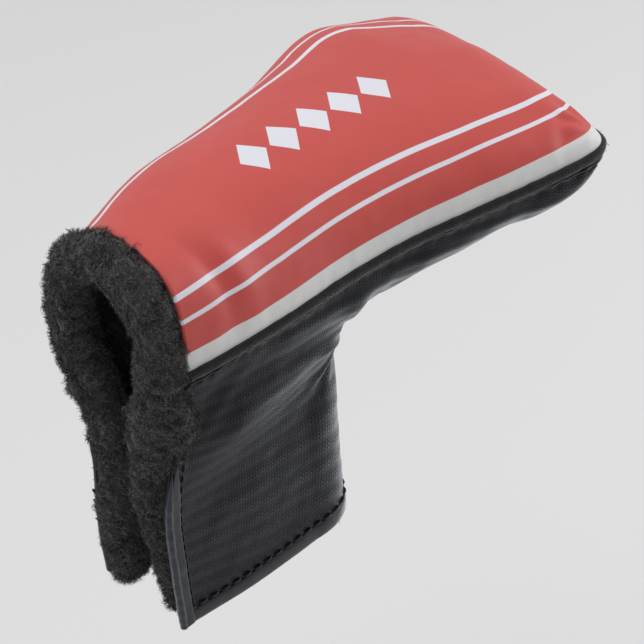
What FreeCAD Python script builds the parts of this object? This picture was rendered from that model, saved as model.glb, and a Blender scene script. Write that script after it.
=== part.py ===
import FreeCAD, Part
import math
import os

# Soft putter head cover, blade style, in millimetres.
# Origin: centre of the neck mouth in the plane of the hem, on the shaft axis.
# +Z runs up the shaft to the head, +X to the toe, +Y to the far side.

# --- Layers, as depths below the outer skin ---
SKIN = 1.5           # printed and embossed synthetic leather
FOAM = 3.2           # underside of the foam sheet below the top panel
HEAD_FLEECE = 6.8    # inner face of the fleece in the head
NECK_FLEECE = 6.3    # inner face of the fleece in the neck

# --- Head ---
HEEL_X = -38.0       # edge of the leather at the mouth
TOE_X = 77.0
WELT_HEEL_Z = 80.6   # the welt lies in a plane that rises to the toe
WELT_TOE_Z = 90.0
WELT_HALF = 1.1      # half the height of the piping
WELT_PROUD = 0.9
TOP_ROLL_X = 62.0    # the top starts to roll down to the toe seam here
BELLY_ROLL_X = 52.0  # the belly starts to close here
CORNER_X = 69.0      # the toe corners start to round here
CORNER_R = 8.0

# x, near edge, far edge, middle y, crest above welt, belly below welt, squareness
HEAD_STATIONS = [
    (-38.0, 26.0, 12.5, -7.5, 24.7, 20.0, 3.00),
    (-28.0, 26.8, 18.0, -4.0, 24.0, 21.0, 2.60),
    (-10.0, 27.2, 23.6, -1.0, 22.2, 23.0, 2.25),
    (8.0, 26.7, 26.0, 0.0, 20.4, 24.5, 2.15),
    (24.0, 27.7, 30.2, 0.0, 18.9, 25.2, 2.25),
    (40.0, 30.4, 33.2, 0.0, 17.0, 24.6, 2.35),
    (54.0, 33.0, 34.3, 0.0, 14.9, 23.4, 2.50),
    (66.0, 34.8, 33.6, 0.0, 12.8, 22.0, 2.60),
    (77.0, 35.4, 32.2, 0.0, 12.0, 21.0, 2.60),
]

# --- Neck ---
HEM_Z = 5.0          # height of the hem band
HEM_PROUD = 0.5
NECK_TOP_Z = 78.0
# z, heel edge x, near half width there, far half width there, start of the front curve x,
# near half width there, far half width there, front x
NECK_STATIONS = [
    (0.0, -33.0, 16.0, 9.8, 9.0, 13.6, 12.6, 25.0),
    (20.0, -37.0, 18.5, 7.6, 7.0, 14.6, 13.6, 23.0),
    (40.0, -40.3, 21.0, 3.9, 5.0, 16.0, 15.0, 21.0),
    (54.0, -40.8, 22.8, 5.4, 3.4, 17.6, 16.8, 19.4),
    (66.0, -39.2, 24.2, 9.4, 2.4, 19.8, 19.2, 20.0),
    (78.0, -38.0, 25.2, 11.8, 2.0, 22.4, 22.0, 22.0),
]
FRONT_SQUARENESS = 2.3

# --- Fleece roll round the mouth ---
# z, near x, near y, far x, far y and radius of the roll's centre line down the flaps
ROLL_STATIONS = [
    (0.3, -27.5, -9.8, -31.0, 3.6, 4.5),
    (20.0, -32.0, -12.1, -35.8, 1.2, 4.7),
    (40.0, -37.5, -14.3, -38.4, -2.9, 5.0),
    (52.0, -39.5, -16.0, -39.4, -1.9, 5.0),
    (64.0, -40.8, -18.9, -40.5, 3.0, 5.2),
    (74.0, -41.4, -21.2, -41.4, 7.0, 5.4),
]
ROLL_R = 5.5         # over the arch
ROLL_OUT = 3.4       # centre of the roll beyond the leather's edge
ROLL_IN = 4.3        # centre of the roll below the outer skin
ROLL_LAP = 2.5       # the linings end this far inside the roll's centre line

# --- Bend line of the two flaps, in the X Z plane ---
BEND_TOP = (-38.0, 76.0)
BEND_FOOT = (5.0, 0.0)
BEND_GAP = 1.2       # half the gap along the bend

# --- Heel edge strip and magnets ---
EDGE_STRIP = 3.4
EDGE_PROUD = 0.4
MAGNET_R = 4.0
MAGNET_T = 2.0
MAGNET_Z = (13.0, 25.0)
MAGNET_FROM_LINE = 5.8
POUCH_WALL = 0.5
POUCH_DEPTH = 2.2    # outer face of the pouch below the skin

SEAM_HALF = 1.0      # half the width of the centre seam binding
NEAR = -1
FAR = 1
BIG = 200.0


def welt_z(x):
    share = (x - HEEL_X) / (TOE_X - HEEL_X)
    return WELT_HEEL_Z + share * (WELT_TOE_Z - WELT_HEEL_Z)


def slope(stations, i, column):
    """Slope of one column of a station table at row i."""
    low = stations[max(i - 1, 0)]
    high = stations[min(i + 1, len(stations) - 1)]
    return (high[column] - low[column]) / (high[0] - low[0])


def between(stations, value):
    """The row of a station table at value, on a smooth curve, straight past the ends."""
    i = 0
    while i < len(stations) - 2 and value > stations[i + 1][0]:
        i += 1
    low = stations[i]
    high = stations[i + 1]
    span = high[0] - low[0]
    t = max(0.0, min((value - low[0]) / span, 1.0))
    past = value - (low[0] + t * span)
    row = [value]
    for column in range(1, len(low)):
        m0 = slope(stations, i, column)
        m1 = slope(stations, i + 1, column)
        curve = (2 * t ** 3 - 3 * t ** 2 + 1) * low[column]
        curve += (t ** 3 - 2 * t ** 2 + t) * span * m0
        curve += (3 * t ** 2 - 2 * t ** 3) * high[column]
        curve += (t ** 3 - t ** 2) * span * m1
        row.append(curve + past * (m0 if past < 0.0 else m1))
    return tuple(row)


def roll_off(x, start, end, power):
    """1 before start, falling to 0 at end along a rounded curve."""
    if x <= start:
        return 1.0
    share = min((x - start) / (end - start), 1.0)
    return (1.0 - share ** power) ** (1.0 / power)


def curve_point(a, b, angle, power):
    """A point on a superellipse quarter given by its angle."""
    c = math.cos(angle)
    s = math.sin(angle)
    y = a * math.copysign(abs(c) ** (2.0 / power), c)
    z = b * math.copysign(abs(s) ** (2.0 / power), s)
    return y, z


def head_section(x, depth):
    """A closed wire across the head at x, depth below the skin."""
    near, far, middle, crest, belly, power = between(HEAD_STATIONS, x)[1:]
    end = TOE_X + 0.1 - depth
    corner = CORNER_R * (1.0 - roll_off(x, CORNER_X, end + 0.4, 2.0))
    up = (crest - depth) * roll_off(x, TOP_ROLL_X, end, 2.2)
    down = (belly - depth) * roll_off(x, BELLY_ROLL_X, end, 2.0)
    points = []
    steps = 24
    for i in range(steps):
        angle = -math.pi / 2.0 + 2.0 * math.pi * i / steps
        half = (far - middle if math.cos(angle) >= 0.0 else near + middle) - depth - corner
        lower = math.sin(angle) < 0.0
        y, z = curve_point(half, down if lower else up, angle, 2.0 if lower else power)
        points.append(FreeCAD.Vector(x, middle + y, welt_z(x) + z))
    curve = Part.BSplineCurve()
    curve.interpolate(Points=points, PeriodicFlag=True)
    return Part.Wire([curve.toShape()])


def head_stops(depth, past_heel):
    """X of the sections of the head, even along it and closer together round the toe."""
    stops = []
    if past_heel > 0.0:
        stops.append(HEEL_X - past_heel)
    even = 13
    for i in range(even + 1):
        stops.append(HEEL_X + (TOP_ROLL_X - 6.0 - HEEL_X) * i / even)
    rest = TOE_X - depth - stops[-1]
    turns = 10
    for i in range(1, turns + 1):
        stops.append(TOE_X - depth - rest * (1.0 - i / turns) ** 1.8)
    return stops


def head_solid(depth, past_heel=0.0):
    """The head as a solid, depth below the skin."""
    wires = [head_section(x, depth) for x in head_stops(depth, past_heel)]
    return Part.makeLoft(wires, True, False)


def neck_side(z, x, side, depth):
    """Half width of the neck at height z and position x along its flat part."""
    row = between(NECK_STATIONS, z)
    heel_half = row[2] if side == NEAR else row[3]
    front_half = row[5] if side == NEAR else row[6]
    share = (x - row[1]) / (row[4] - row[1])
    bulge = 0.8 * math.sin(math.pi * max(0.0, min(1.0, share)))
    return heel_half + share * (front_half - heel_half) + bulge - depth


def neck_section(z, depth, past_heel):
    """A closed wire round the neck at height z, flat at the heel end."""
    row = between(NECK_STATIONS, z)
    heel = row[1]
    start = row[4]
    front = row[7] - depth
    near_front = row[5] - depth
    far_front = row[6] - depth
    points = []
    for share in (0.0, 0.3, 0.65):
        x = heel + share * (start - heel)
        at = x - past_heel if share == 0.0 else x
        points.append(FreeCAD.Vector(at, -neck_side(z, x, NEAR, depth), z))
    steps = 12
    for i in range(steps + 1):
        angle = -math.pi / 2.0 + math.pi * i / steps
        half = near_front if angle < 0.0 else far_front
        x, y = curve_point(front - start, half, angle, FRONT_SQUARENESS)
        points.append(FreeCAD.Vector(start + x, y, z))
    for share in (0.65, 0.3, 0.0):
        x = heel + share * (start - heel)
        at = x - past_heel if share == 0.0 else x
        points.append(FreeCAD.Vector(at, neck_side(z, x, FAR, depth), z))
    curve = Part.BSplineCurve()
    curve.interpolate(Points=points)
    closing = Part.makeLine(points[-1], points[0])
    return Part.Wire([curve.toShape(), closing])


def neck_solid(depth, past_heel=0.0, past_hem=0.0):
    """The neck as a solid, depth below the skin."""
    wires = []
    for i in range(13):
        wires.append(neck_section(NECK_TOP_Z * i / 12, depth, past_heel))
    solid = Part.makeLoft(wires, True, False)
    if past_hem > 0.0:
        foot = Part.Face(neck_section(0.0, depth, past_heel))
        solid = solid.fuse(foot.extrude(FreeCAD.Vector(0, 0, -past_hem)))
    return solid


def prism(points, y_low=-BIG, y_high=BIG):
    """A prism along Y from a polygon in the X Z plane."""
    corners = [FreeCAD.Vector(x, y_low, z) for x, z in points]
    face = Part.Face(Part.makePolygon(corners + [corners[0]]))
    return face.extrude(FreeCAD.Vector(0, y_high - y_low, 0))


def band(low, high):
    """The space between two heights above the welt plane."""
    left = HEEL_X - 60.0
    right = TOE_X + 60.0
    return prism([
        (left, welt_z(left) + low),
        (right, welt_z(right) + low),
        (right, welt_z(right) + high),
        (left, welt_z(left) + high),
    ])


def bend_x(z, offset):
    """X of the bend line at height z, moved sideways by offset."""
    dx = BEND_FOOT[0] - BEND_TOP[0]
    dz = BEND_FOOT[1] - BEND_TOP[1]
    length = math.hypot(dx, dz)
    return BEND_TOP[0] + (z - BEND_TOP[1]) * dx / dz + offset * length / abs(dz)


def flap_space():
    top = BEND_TOP[1] - BEND_GAP
    return prism([
        (-90.0, top),
        (bend_x(top, -BEND_GAP), top),
        (bend_x(-20.0, -BEND_GAP), -20.0),
        (-90.0, -20.0),
    ])


def root_space():
    top = BEND_TOP[1] + BEND_GAP
    return prism([
        (-90.0, top),
        (bend_x(top, BEND_GAP), top),
        (bend_x(-20.0, BEND_GAP), -20.0),
        (120.0, -20.0),
        (120.0, 160.0),
        (-90.0, 160.0),
    ])


def side_space(side, clear=0.0):
    """Everything on one side of the middle, clear of it by clear."""
    low = -BIG if side == NEAR else clear
    high = -clear if side == NEAR else BIG
    return Part.makeBox(2 * BIG, high - low, 2 * BIG, FreeCAD.Vector(-BIG, low, -BIG))


def half_of_roll(side):
    """One side of the plane between the two flaps' lips, which leans from hem to arch."""
    low = Part.makePolygon([FreeCAD.Vector(-90.0, y, z) for y, z in roll_divide(side)])
    return Part.Face(low).extrude(FreeCAD.Vector(120.0, 0, 0))


def roll_divide(side):
    """A Y Z outline of everything on one side of the middle of the gap between the lips."""
    middle = [((row[2] + row[4]) / 2.0, row[0]) for row in ROLL_STATIONS]
    middle = [(middle[0][0], -10.0)] + middle + [(middle[-1][0], 90.0)]
    outline = middle + [(side * BIG, 90.0), (side * BIG, -10.0)]
    return outline + [outline[0]]


def level(low, high):
    return Part.makeBox(2 * BIG, 2 * BIG, high - low, FreeCAD.Vector(-BIG, -BIG, low))


def edge_space(width):
    """Everything heelward of a line that runs width inside the leather's heel edge."""
    points = [(row[1] + width, row[0]) for row in NECK_STATIONS]
    points = [(points[0][0], -10.0)] + points + [(HEEL_X + width, 200.0)]
    return prism(points + [(-90.0, 200.0), (-90.0, -10.0)])


def fleece_line(side):
    """Everything heelward of the line where a lining ends and the roll begins."""
    column = 1 if side == NEAR else 3
    points = [(row[column] + ROLL_LAP, row[0]) for row in ROLL_STATIONS]
    points = [(points[0][0], -10.0)] + points + [(HEEL_X, 76.0), (HEEL_X, 200.0)]
    return prism(points + [(-90.0, 200.0), (-90.0, -10.0)])


def roll_centres():
    """Points down the middle of the roll with its radius, from hem to hem over the top."""
    near = []
    far = []
    for row in ROLL_STATIONS:
        near.append((FreeCAD.Vector(row[1], row[2], row[0]), row[5]))
        far.append((FreeCAD.Vector(row[3], row[4], row[0]), row[5]))
    near_edge, far_edge, middle, crest, _, power = HEAD_STATIONS[0][1:]
    arch = []
    for degrees in (174, 155, 135, 112, 90, 68, 45, 25, 6):
        angle = math.radians(degrees)
        half = (far_edge - middle if degrees < 90 else near_edge + middle) - ROLL_IN
        y, z = curve_point(half, crest - ROLL_IN, angle, power - 0.5)
        arch.append((FreeCAD.Vector(HEEL_X - ROLL_OUT, middle + y, WELT_HEEL_Z + z), ROLL_R))
    return near + arch + far[::-1]


def ring(centre, along, radius):
    """A round wire across the direction along."""
    heelward = FreeCAD.Vector(-1, 0, 0)
    first = heelward.sub(FreeCAD.Vector(along).multiply(heelward.dot(along))).normalize()
    second = along.cross(first).normalize()
    points = []
    for i in range(12):
        angle = 2.0 * math.pi * i / 12
        point = centre.add(FreeCAD.Vector(first).multiply(radius * math.cos(angle)))
        points.append(point.add(FreeCAD.Vector(second).multiply(radius * math.sin(angle))))
    curve = Part.BSplineCurve()
    curve.interpolate(Points=points, PeriodicFlag=True)
    return Part.Wire([curve.toShape()])


def fleece_roll():
    centres = roll_centres()
    curve = Part.BSplineCurve()
    curve.interpolate(Points=[point for point, radius in centres])
    knots = [curve.parameter(point) for point, radius in centres]
    rings = []
    steps = 40
    for i in range(steps + 1):
        at = curve.FirstParameter + (curve.LastParameter - curve.FirstParameter) * i / steps
        j = 0
        while j < len(knots) - 2 and at > knots[j + 1]:
            j += 1
        share = (at - knots[j]) / (knots[j + 1] - knots[j])
        radius = centres[j][1] + share * (centres[j + 1][1] - centres[j][1])
        rings.append(ring(curve.value(at), curve.tangent(at)[0].normalize(), radius))
    return Part.makeLoft(rings, True, False)


def wall_frame(z, x, side, depth):
    """A point in the neck wall, the way out of it and the way up along it."""
    def at(px, pz):
        return FreeCAD.Vector(px, side * neck_side(pz, px, side, depth), pz)
    here = at(x, z)
    along = at(x + 4.0, z).sub(at(x - 4.0, z)).normalize()
    up = at(x - 1.0, z + 4.0).sub(at(x + 1.0, z - 4.0)).normalize()
    out = along.cross(up).normalize()
    if out.y * side < 0.0:
        out = out.multiply(-1.0)
    return here, out, up


def magnet_x(z, side):
    return between(ROLL_STATIONS, z)[1 if side == NEAR else 3] + ROLL_LAP + MAGNET_FROM_LINE


def magnets(side):
    """Two discs, one above the other."""
    discs = []
    middle = sum(MAGNET_Z) / 2.0
    depth = POUCH_DEPTH + POUCH_WALL + 0.1 + MAGNET_T
    here, out, up = wall_frame(middle, magnet_x(middle, side), side, depth)
    for z in MAGNET_Z:
        centre = here.add(FreeCAD.Vector(up).multiply(z - middle))
        discs.append(Part.makeCylinder(MAGNET_R, MAGNET_T, centre, out))
    return Part.makeCompound(discs)


def oriented_box(here, out, up, width, height, thickness, lift):
    """A box lying in the wall, its inner face lifted outward by lift."""
    across = up.cross(out).normalize()
    corner = here.add(FreeCAD.Vector(across).multiply(-width / 2.0))
    corner = corner.add(FreeCAD.Vector(up).multiply(-height / 2.0))
    corner = corner.add(FreeCAD.Vector(out).multiply(lift))
    sides = [
        corner,
        corner.add(FreeCAD.Vector(across).multiply(width)),
        corner.add(FreeCAD.Vector(across).multiply(width)).add(FreeCAD.Vector(up).multiply(height)),
        corner.add(FreeCAD.Vector(up).multiply(height)),
    ]
    face = Part.Face(Part.makePolygon(sides + [sides[0]]))
    return face.extrude(FreeCAD.Vector(out).multiply(thickness))


def pouch_hull(side, wall):
    """The outside of the magnet pouch if wall is its wall, its inside if wall is 0."""
    middle = sum(MAGNET_Z) / 2.0
    depth = POUCH_DEPTH + POUCH_WALL + 0.1 + MAGNET_T
    here, out, up = wall_frame(middle, magnet_x(middle, side), side, depth)
    width = 2 * MAGNET_R + 1.2 + 2 * wall
    height = MAGNET_Z[1] - MAGNET_Z[0] + 2 * MAGNET_R + 1.2 + 2 * wall
    thickness = MAGNET_T + 0.2 + 2 * wall
    return oriented_box(here, out, up, width, height, thickness, -0.1 - wall)


def largest(shape):
    """The largest solid of a cut, without the slivers beside it."""
    return max(shape.Solids, key=lambda solid: solid.Volume)


def save(name, shape):
    solids = [s for s in shape.Solids if s.Volume > 0.5]
    if not solids:
        raise RuntimeError(name + " is empty")
    whole = solids[0] if len(solids) == 1 else Part.makeCompound(solids)
    whole.exportStep("parts/" + name + ".step")
    box = whole.optimalBoundingBox()
    print("%-26s %2d solids %9.0f mm3 valid %s  %.1f %.1f %.1f to %.1f %.1f %.1f" % (
        name, len(solids), whole.Volume, whole.isValid(),
        box.XMin, box.YMin, box.ZMin, box.XMax, box.YMax, box.ZMax))


def build():
    os.makedirs("parts", exist_ok=True)
    head_outer = head_solid(0.0)
    head_mid = head_solid(SKIN, 8.0)
    head_foam = head_solid(FOAM, 8.0)
    head_inner = head_solid(HEAD_FLEECE, 8.0)
    neck_outer = neck_solid(0.0)
    neck_mid = neck_solid(SKIN, 8.0, 4.0)
    neck_inner = neck_solid(NECK_FLEECE, 8.0, 4.0)
    outer = head_outer.fuse(neck_outer)
    mid = head_mid.fuse(neck_mid)
    inner = head_inner.fuse(neck_inner)
    skin = outer.cut(mid)
    above = band(WELT_HALF, 60.0)
    below = band(-160.0, -WELT_HALF)
    root = root_space()
    flap = flap_space()
    over_hem = level(HEM_Z, 300.0)
    hem_level = level(0.0, HEM_Z)
    strip = edge_space(EDGE_STRIP)

    # Top of the head
    save("top_panel", skin.common(above))
    save("top_foam", head_mid.common(head_outer).cut(head_foam).common(above))
    top_fleece = head_foam.common(head_outer).cut(head_inner).common(band(0.0, 60.0))
    save("top_lining", top_fleece)
    proud = head_solid(-WELT_PROUD)
    trim = Part.makeBox(BIG, 2 * BIG, 2 * BIG, FreeCAD.Vector(HEEL_X, -BIG, -BIG))
    piping = proud.cut(head_mid).common(band(-WELT_HALF, WELT_HALF)).common(trim)
    save("welt_piping", piping)

    # Sides, under the welt
    lower_skin = skin.common(below).common(over_hem)
    root_skin = lower_skin.common(root)
    flap_skin = lower_skin.common(flap)
    fleece = mid.common(outer).cut(inner).common(band(-160.0, 0.0))
    hem = neck_solid(-HEM_PROUD).cut(neck_mid).common(hem_level)
    binding = neck_solid(-EDGE_PROUD).cut(mid).common(strip).common(flap)
    middle = Part.makeBox(2 * BIG, 2 * SEAM_HALF, 2 * BIG, FreeCAD.Vector(-5.0, -SEAM_HALF, -BIG))
    save("centre_seam_binding", root_skin.common(middle))
    roll = fleece_roll()
    collar = roll.common(root).common(edge_space(0.0))
    save("mouth_collar", collar)
    for side, name in ((NEAR, "near"), (FAR, "far")):
        half = side_space(side)
        panel_half = side_space(side, SEAM_HALF)
        pouch = pouch_hull(side, POUCH_WALL)
        line = fleece_line(side)
        leaning = half_of_roll(side)
        flap_fleece = fleece.common(flap).common(leaning).cut(line)
        lip = roll.common(flap).common(leaning).common(line)
        save(name + "_side_panel", root_skin.common(panel_half))
        save(name + "_side_lining", fleece.common(root).common(half).cut(line))
        save(name + "_hem_band", hem.common(root).common(half))
        save(name + "_flap_panel", flap_skin.common(half).cut(strip))
        save(name + "_flap_lining", largest(flap_fleece.cut(pouch)))
        save(name + "_flap_lip", largest(lip.cut(binding).cut(flap_skin).cut(hem).cut(pouch)))
        save(name + "_flap_edge_binding", binding.common(half))
        save(name + "_flap_hem_band", hem.common(flap).common(half).cut(strip))
        save(name + "_magnet_pouch", pouch.cut(pouch_hull(side, 0.0)))
        save(name + "_magnets", magnets(side))


build()
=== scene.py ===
import math

import bmesh
import bpy
import numpy as np
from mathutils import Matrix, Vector, noise
from mathutils.bvhtree import BVHTree


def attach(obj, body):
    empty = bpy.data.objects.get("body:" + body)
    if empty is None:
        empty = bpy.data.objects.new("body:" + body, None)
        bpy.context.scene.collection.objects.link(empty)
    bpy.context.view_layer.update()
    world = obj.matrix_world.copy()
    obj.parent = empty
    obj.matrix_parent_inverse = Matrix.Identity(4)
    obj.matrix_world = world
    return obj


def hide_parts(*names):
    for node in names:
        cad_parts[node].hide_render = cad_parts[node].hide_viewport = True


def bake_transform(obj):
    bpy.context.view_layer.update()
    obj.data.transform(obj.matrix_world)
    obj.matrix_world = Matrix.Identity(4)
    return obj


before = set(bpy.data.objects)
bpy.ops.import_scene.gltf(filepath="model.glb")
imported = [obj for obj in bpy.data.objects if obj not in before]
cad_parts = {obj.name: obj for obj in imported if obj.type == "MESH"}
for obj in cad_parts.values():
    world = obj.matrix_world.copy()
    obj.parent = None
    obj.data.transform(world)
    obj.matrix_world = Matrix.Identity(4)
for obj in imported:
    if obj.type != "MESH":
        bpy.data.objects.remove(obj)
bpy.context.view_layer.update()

# Shapes are worked out in millimetres and scaled to metres when a mesh is made.
MM = 0.001
SKIN, FOAM, FLEECE = 1.2, 1.4, 3.4  # thicknesses
FOAM_DEPTH, HEAD_FLEECE_DEPTH, NECK_FLEECE_DEPTH = 1.5, 6.9, 6.4  # below the outer skin
HEEL_X, TOE_X = -38.0, 77.0
EVEN_X = 56.0  # the head's sections close up from here to the toe
WELT_HEEL_Z, WELT_TOE_Z = 80.6, 90.0
WELT_POINT = (HEEL_X, 0, WELT_HEEL_Z)
WELT_NORMAL = Vector((-(WELT_TOE_Z - WELT_HEEL_Z), 0, TOE_X - HEEL_X)).normalized()
NECK_TOP_Z = 78.0
NECK_SQUARENESS = 2.3
PAST_HEEL = 14.0  # how far the closed shells run on heelward before they are trimmed
ROLL_RADIUS, ROLL_OUT, ROLL_IN = 5.5, 3.4, 4.3  # the fleece roll over the arch
BORDER, TOE_BORDER = 5.5, 4.6  # the white rim of the top
STRIPES = ((13.4, 0.52), (18.9, 0.68))  # distance from the edge and half width
ORNAMENT_START, ORNAMENT_STEP, ORNAMENT_COUNT = -3.0, 9.4, 5
DIAMOND_HALF = (4.1, 5.6)
TWILL_COLUMN, TWILL_TICK, TWILL_BAND = 0.86, 1.12, 4.5  # pitches of the embossing
SIDES = ((-1, "near"), (1, "far"))  # -1 near and 1 far wherever a side is a number
FLOOR_Z, FLOOR_HALF = -160, 3000
MOUTH_TUFTS, LINING_TUFTS, TOP_LINING_TUFTS = 33000, 7000, 5000
WELT_TUFTS, HEM_TUFTS = 5200, 1700

# x, near edge, far edge, middle y, crest above welt, belly below welt, squareness
HEAD = np.array([
    (-38.0, 26.0, 12.5, -7.5, 24.7, 20.0, 3.00),
    (-28.0, 26.8, 18.0, -4.0, 24.0, 21.0, 2.60),
    (-10.0, 27.2, 23.6, -1.0, 22.2, 23.0, 2.25),
    (8.0, 26.7, 26.0, 0.0, 20.4, 24.5, 2.15),
    (24.0, 27.7, 30.2, 0.0, 18.9, 25.2, 2.25),
    (40.0, 30.4, 33.2, 0.0, 17.0, 24.6, 2.35),
    (54.0, 33.0, 34.3, 0.0, 14.9, 23.4, 2.50),
    (66.0, 34.8, 33.6, 0.0, 12.8, 22.0, 2.60),
    (77.0, 35.4, 32.2, 0.0, 12.0, 21.0, 2.60),
])
# z, heel edge x, near half width, far half width, start of the front x, near, far, front x
NECK = np.array([
    (0.0, -33.0, 16.0, 9.8, 9.0, 13.6, 12.6, 25.0),
    (20.0, -37.0, 18.5, 7.6, 7.0, 14.6, 13.6, 23.0),
    (40.0, -40.3, 21.0, 3.9, 5.0, 16.0, 15.0, 21.0),
    (54.0, -40.8, 22.8, 5.4, 3.4, 17.6, 16.8, 19.4),
    (66.0, -39.2, 24.2, 9.4, 2.4, 19.8, 19.2, 20.0),
    (78.0, -38.0, 25.2, 11.8, 2.0, 22.4, 22.0, 22.0),
])
# z, near x, near y, far x, far y, radius of the fleece roll down the flaps
ROLL = np.array([
    (0.3, -27.5, -9.8, -31.0, 3.6, 4.5),
    (20.0, -32.0, -12.1, -35.8, 1.2, 4.7),
    (40.0, -37.5, -14.3, -38.4, -2.9, 5.0),
    (52.0, -39.5, -16.0, -39.4, -1.9, 5.0),
    (64.0, -40.8, -18.9, -40.5, 3.0, 5.2),
    (74.0, -41.4, -21.2, -41.4, 7.0, 5.4),
])
rng = np.random.default_rng(7)


# ---------- shape ----------

def bell(value, width):
    """1 where the value is 0, falling off smoothly over the width."""
    return np.exp(-((value / width) ** 2))


def unit(vectors, least=0.0):
    return vectors / (np.linalg.norm(vectors, axis=-1, keepdims=True) + least)


def run_along(points):
    """How far along the line each point is."""
    return np.r_[0, np.cumsum(np.linalg.norm(np.diff(points, axis=0), axis=1))]


def spread(points, run, at):
    """The places on a line at the given distances along it."""
    return np.stack([np.interp(at, run, points[:, k]) for k in range(3)], -1)


def even_run(points, step):
    points = np.asarray(points, float)
    run = run_along(points)
    at = np.linspace(0, run[-1], max(2, int(round(run[-1] / step)) + 1))
    return spread(points, run, at)


def links(count):
    """The pairs of neighbours in a row of points."""
    return np.c_[np.arange(count - 1), np.arange(1, count)]


def curve_shares(t):
    """A smooth curve's shares at t of its first place and slope, and its last place and slope."""
    return 2 * t**3 - 3 * t**2 + 1, t**3 - 2 * t**2 + t, 3 * t**2 - 2 * t**3, t**3 - t**2


def table_at(table, value):
    """The rows of a station table at the values, on a smooth curve, straight past the ends."""
    value = np.atleast_1d(np.asarray(value, float))
    x = table[:, 0]
    slope = np.empty((len(x), table.shape[1] - 1))
    last = len(x) - 1
    for i in range(len(x)):
        a, b = max(i - 1, 0), min(i + 1, last)
        slope[i] = (table[b, 1:] - table[a, 1:]) / (x[b] - x[a])
    i = np.clip(np.searchsorted(x, value) - 1, 0, last - 1)
    span = (x[i + 1] - x[i])[:, None]
    t = np.clip((value - x[i])[:, None] / span, 0, 1)
    past = value[:, None] - (x[i][:, None] + t * span)
    low, high = table[i, 1:], table[i + 1, 1:]
    at_low, slope_low, at_high, slope_high = curve_shares(t)
    out = at_low * low + slope_low * span * slope[i]
    out += at_high * high + slope_high * span * slope[i + 1]
    return out + past * np.where(past < 0, slope[i], slope[i + 1])


def welt_z(x):
    return WELT_HEEL_Z + (x - HEEL_X) / (TOE_X - HEEL_X) * (WELT_TOE_Z - WELT_HEEL_Z)


def roll_off(x, start, end, power):
    share = np.clip((np.asarray(x, float) - start) / (end - start), 0, 1)
    return (1 - share**power) ** (1 / power)


def signed_power(v, p):
    return np.sign(v) * np.abs(v) ** p


def far_flare(points):
    """Spreads and lifts the empty far edge of the head, where it turns up a little."""
    x, y, z = points[..., 0], points[..., 1], points[..., 2]
    over = z - welt_z(x)
    there = bell(x - 48, 13.5) * np.clip((y - 8) / 18, 0, 1) ** 2
    out = there * bell(over - 4.5, np.where(over > 4.5, 5.0, 5.5))
    lift = there * bell(over, np.where(over > 0, 30.0, 12.0))
    return points + np.stack([0 * x, 4.6 * out, 1.6 * lift], -1)


def head_section(x, angles, depth):
    """Points of the head's outline at x for the given angles, depth below the skin."""
    near, far, middle, crest, belly, power = table_at(HEAD, x)[0]
    end = TOE_X + 0.1 - depth
    up = (crest - depth) * roll_off(x, 62.0, end, 2.2)
    down = (belly - depth) * roll_off(x, 55.0, end, 2.4)
    c, s = np.cos(angles), np.sin(angles)
    corner = np.where(c >= 0, 9.0, 5.5) * (1 - roll_off(x, min(71.0, end - 5.0), end + 0.4, 2.0))
    half = np.where(c >= 0, far - middle, near + middle) - depth - corner
    shoulder = 0.30 * bell(x - 8, 17) - 0.55 * bell(x + 36, 13)
    blunt = 2.0 + 0.9 * min(max((x - 56) / 14, 0), 1)
    p = np.where(s < 0, blunt, power + np.where(c > 0, shoulder, 0.0))
    y = middle + half * signed_power(c, 2 / p)
    low_corner = 1 - 0.22 * np.clip((y - 2) / 26, 0, 1) * np.clip((x - 54) / 14, 0, 1)
    z = welt_z(x) + np.where(s < 0, down, up * low_corner) * signed_power(s, 2 / p)
    return far_flare(np.stack([np.full_like(y, x), y, z], -1))


def head_stops(depth, past_heel, even=26, turns=26):
    """X of the head's sections, evenly spaced and then closer together round the toe."""
    stops = [HEEL_X - past_heel] if past_heel else []
    stops += list(np.linspace(HEEL_X, EVEN_X, even + 1))
    rest = TOE_X - depth - EVEN_X
    return stops + [TOE_X - depth - rest * (1 - i / turns) ** 1.8 for i in range(1, turns + 1)]


def neck_side(z, x, side, depth=0.0):
    """Half width of the neck along its flat part. side is -1 near and 1 far."""
    row = table_at(NECK, z)[0]
    heel_half, front_half = (row[1], row[4]) if side < 0 else (row[2], row[5])
    share = (x - row[0]) / (row[3] - row[0])
    bulge = 0.8 * math.sin(math.pi * min(max(share, 0), 1))
    return heel_half + share * (front_half - heel_half) + bulge - depth


def neck_section(z, depth, past_heel, flat=14, front=36):
    """Points round the neck from the near heel edge by the front to the far heel edge."""
    heel, _, _, start, near, far, nose = table_at(NECK, z)[0]
    xs = np.linspace(heel, start, flat)[:-1]
    side = [(x, -neck_side(z, x, -1, depth), z) for x in xs]
    back = [(x, neck_side(z, x, 1, depth), z) for x in xs[::-1]]
    a = np.linspace(-math.pi / 2, math.pi / 2, front)
    half = np.where(a < 0, near, far) - depth
    x = start + (nose - depth - start) * signed_power(np.cos(a), 2 / NECK_SQUARENESS)
    y = half * signed_power(np.sin(a), 2 / NECK_SQUARENESS)
    bow = list(zip(x, y, [z] * front))
    ends = [(heel - past_heel, side[0][1], z)] if past_heel else []
    far_end = [(heel - past_heel, back[-1][1], z)] if past_heel else []
    return np.array(ends + side + bow + back + far_end)


def bumps(points, size, seed, octaves=2):
    """Smooth noise from -1 to 1 at the points, with features about size millimetres wide."""
    shift = Vector((seed * 17.3, seed * 5.1, seed * 9.7))
    out = np.empty(len(points))
    for i, p in enumerate(points):
        out[i] = noise.fractal(Vector(p) / size + shift, 1.0, 2.0, octaves)
    return out


# ---------- meshes ----------

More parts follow.
